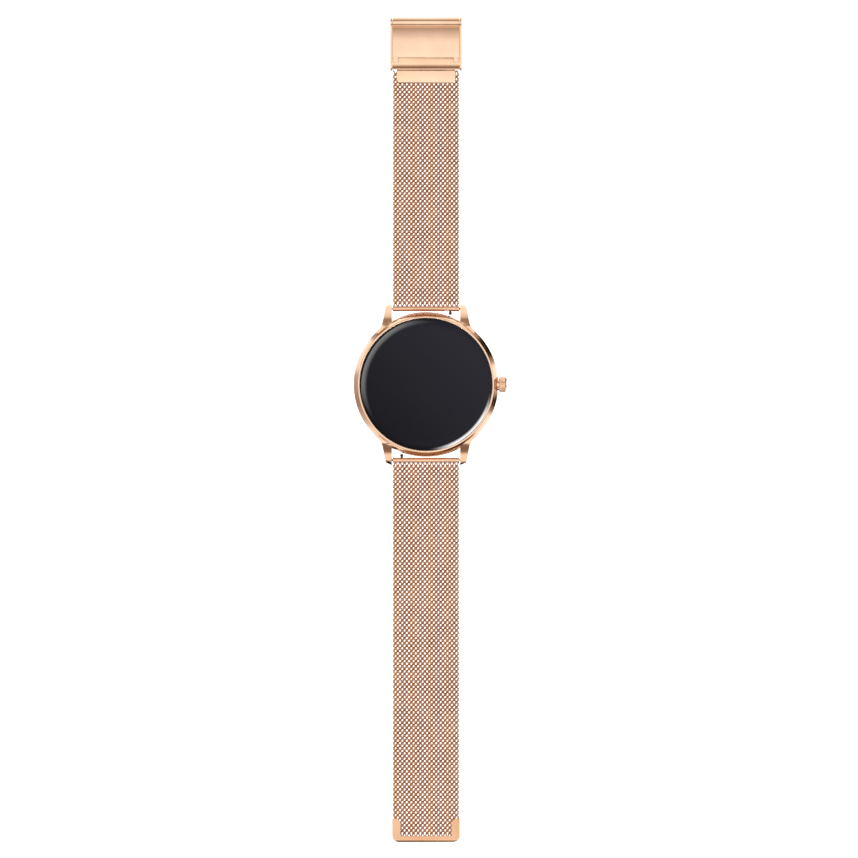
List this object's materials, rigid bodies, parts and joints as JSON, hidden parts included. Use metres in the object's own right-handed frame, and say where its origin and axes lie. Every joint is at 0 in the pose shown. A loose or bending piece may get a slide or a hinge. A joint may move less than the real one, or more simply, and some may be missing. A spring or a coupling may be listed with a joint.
{
  "type": "smartwatch",
  "caption": "Round smartwatch with domed black glass, a pressable crown and a woven metal mesh strap with a lever clasp, laid flat and open.",
  "frame": {"origin": "middle of the back, on the face of the sensor window that the watch rests on", "axes": "+Z out of the glass, +Y towards 12 o'clock and along the strap, +X towards the crown"},
  "size_m": [0.0447, 0.2413, 0.01],
  "materials": {
    "polished_case": "polished rose gold plating",
    "polished_trim": "mirror polished rose gold plating",
    "woven_wire": "drawn wire, rose gold plated",
    "cover_glass": "polished, curved border",
    "black_print": "black print on glass",
    "display_face": "black when off",
    "clear_glue": "optically clear",
    "black_glue": "matte tape",
    "flex_tape": "polyimide tape",
    "frame_plastic": "moulded, glass filled",
    "circuit_board": "solder mask",
    "shield_steel": "tin plated",
    "antenna_metal": "gold plated",
    "battery_foil": "aluminium pouch",
    "motor_steel": "satin",
    "switch_plastic": "moulded",
    "bare_steel": "turned",
    "seal_rubber": "silicone",
    "back_metal": "satin rose gold plating",
    "sensor_lens": "dark tinted",
    "pad_gold": "gold plated",
    "magnet_nickel": "nickel plated"
  },
  "bodies": {
    "case": {"case_shell": "polished_case", "bezel_ring": "polished_trim", "glass": "cover_glass", "mask_ring": "black_print", "optical_adhesive": "clear_glue", "glass_adhesive": "black_glue", "display_panel": "display_face", "display_flex": "flex_tape", "inner_frame": "frame_plastic", "main_board": "circuit_board", "board_shield": "shield_steel", "antenna": "antenna_metal", "battery": "battery_foil", "vibration_motor": "motor_steel", "side_switch": "switch_plastic", "crown_tube": "polished_case", "back_cover": "back_metal", "back_gasket": "seal_rubber", "back_screws": "bare_steel", "sensor_window": "sensor_lens", "sensor_board": "circuit_board", "charge_contacts": "pad_gold", "charge_magnets": "magnet_nickel", "crown_spring": "bare_steel"},
    "crown_slider": {"crown_clip": "bare_steel"},
    "crown": {"crown_stem": "bare_steel", "crown_o_ring": "seal_rubber", "crown_head": "polished_trim"},
    "upper_strap_1": {"upper_end_tube": "polished_case", "upper_bar_barrel": "bare_steel", "upper_bar_fixed_pin": "bare_steel", "upper_bar_spring": "bare_steel", "upper_mesh_1": "woven_wire"},
    "upper_release": {"upper_release_pin": "bare_steel"},
    "lower_strap_1": {"lower_end_tube": "polished_case", "lower_bar_barrel": "bare_steel", "lower_bar_fixed_pin": "bare_steel", "lower_bar_spring": "bare_steel", "lower_mesh_1": "woven_wire"},
    "lower_release": {"lower_release_pin": "bare_steel"},
    "upper_strap_2": {"upper_mesh_2": "woven_wire"},
    "upper_strap_3": {"upper_mesh_3": "woven_wire"},
    "upper_strap_4": {"upper_mesh_4": "woven_wire"},
    "upper_strap_5": {"upper_mesh_5": "woven_wire"},
    "upper_strap_6": {"upper_mesh_6": "woven_wire", "clasp_tongue": "polished_trim"},
    "lower_strap_2": {"lower_mesh_2": "woven_wire"},
    "lower_strap_3": {"lower_mesh_3": "woven_wire"},
    "lower_strap_4": {"lower_mesh_4": "woven_wire"},
    "lower_strap_5": {"lower_mesh_5": "woven_wire"},
    "lower_strap_6": {"lower_mesh_6": "woven_wire"},
    "lower_strap_7": {"lower_mesh_7": "woven_wire"},
    "lower_strap_8": {"lower_mesh_8": "woven_wire"},
    "lower_strap_9": {"lower_mesh_9": "woven_wire", "end_cap": "polished_trim"},
    "clasp_frame": {"clasp_frame": "polished_case", "tongue_pin": "bare_steel", "cover_pin": "bare_steel"},
    "clasp_cover": {"clasp_cover": "polished_trim"}
  },
  "joints": [
    {"name": "crown_press", "type": "slide", "parent": "case", "child": "crown_slider", "axis": [-1, 0, 0], "range_m": [0, 0.0005], "stiffness_N_per_m": 1500, "deforming": ["crown_spring"]},
    {"name": "crown_turn", "type": "hinge", "parent": "crown_slider", "child": "crown", "pos_m": [0.02115, 0, 0.0046], "axis": [1, 0, 0], "continuous": true},
    {"name": "upper_strap_swing", "type": "hinge", "parent": "case", "child": "upper_strap_1", "pos_m": [0, 0.02213, 0.0019], "axis": [-1, 0, 0], "range_deg": [-30, 60]},
    {"name": "upper_release_slide", "type": "slide", "parent": "upper_strap_1", "child": "upper_release", "axis": [-1, 0, 0], "range_m": [0, 0.0012], "stiffness_N_per_m": 300, "deforming": ["upper_bar_spring"]},
    {"name": "upper_bend_1", "type": "hinge", "parent": "upper_strap_1", "child": "upper_strap_2", "pos_m": [0, 0.03445, 0.0009], "axis": [-1, 0, 0], "range_deg": [-10, 25]},
    {"name": "upper_bend_2", "type": "hinge", "parent": "upper_strap_2", "child": "upper_strap_3", "pos_m": [0, 0.04601, 0.0009], "axis": [-1, 0, 0], "range_deg": [-10, 25]},
    {"name": "upper_bend_3", "type": "hinge", "parent": "upper_strap_3", "child": "upper_strap_4", "pos_m": [0, 0.05758, 0.0009], "axis": [-1, 0, 0], "range_deg": [-10, 25]},
    {"name": "upper_bend_4", "type": "hinge", "parent": "upper_strap_4", "child": "upper_strap_5", "pos_m": [0, 0.06915, 0.0009], "axis": [-1, 0, 0], "range_deg": [-10, 25]},
    {"name": "upper_bend_5", "type": "hinge", "parent": "upper_strap_5", "child": "upper_strap_6", "pos_m": [0, 0.08071, 0.0009], "axis": [-1, 0, 0], "range_deg": [-10, 25]},
    {"name": "lower_strap_swing", "type": "hinge", "parent": "case", "child": "lower_strap_1", "pos_m": [0, -0.02213, 0.0019], "axis": [1, 0, 0], "range_deg": [-30, 35]},
    {"name": "lower_release_slide", "type": "slide", "parent": "lower_strap_1", "child": "lower_release", "axis": [1, 0, 0], "range_m": [0, 0.0012], "stiffness_N_per_m": 300, "deforming": ["lower_bar_spring"]},
    {"name": "lower_bend_1", "type": "hinge", "parent": "lower_strap_1", "child": "lower_strap_2", "pos_m": [0, -0.03506, 0.0009], "axis": [1, 0, 0], "range_deg": [-10, 22]},
    {"name": "lower_bend_2", "type": "hinge", "parent": "lower_strap_2", "child": "lower_strap_3", "pos_m": [0, -0.04724, 0.0009], "axis": [1, 0, 0], "range_deg": [-10, 22]},
    {"name": "lower_bend_3", "type": "hinge", "parent": "lower_strap_3", "child": "lower_strap_4", "pos_m": [0, -0.05941, 0.0009], "axis": [1, 0, 0], "range_deg": [-10, 22]},
    {"name": "lower_bend_4", "type": "hinge", "parent": "lower_strap_4", "child": "lower_strap_5", "pos_m": [0, -0.07159, 0.0009], "axis": [1, 0, 0], "range_deg": [-10, 22]},
    {"name": "lower_bend_5", "type": "hinge", "parent": "lower_strap_5", "child": "lower_strap_6", "pos_m": [0, -0.08377, 0.0009], "axis": [1, 0, 0], "range_deg": [-10, 22]},
    {"name": "lower_bend_6", "type": "hinge", "parent": "lower_strap_6", "child": "lower_strap_7", "pos_m": [0, -0.09595, 0.0009], "axis": [1, 0, 0], "range_deg": [-10, 22]},
    {"name": "lower_bend_7", "type": "hinge", "parent": "lower_strap_7", "child": "lower_strap_8", "pos_m": [0, -0.10812, 0.0009], "axis": [1, 0, 0], "range_deg": [-10, 22]},
    {"name": "lower_bend_8", "type": "hinge", "parent": "lower_strap_8", "child": "lower_strap_9", "pos_m": [0, -0.1203, 0.0009], "axis": [1, 0, 0], "range_deg": [-10, 22]},
    {"name": "clasp_swing", "type": "hinge", "parent": "upper_strap_6", "child": "clasp_frame", "pos_m": [0, 0.09338, 0.00062], "axis": [-1, 0, 0], "range_deg": [-35, 30]},
    {"name": "clasp_cover_open", "type": "hinge", "parent": "clasp_frame", "child": "clasp_cover", "pos_m": [0, 0.10593, 0.0034], "axis": [-1, 0, 0], "range_deg": [0, 105]}
  ]
}
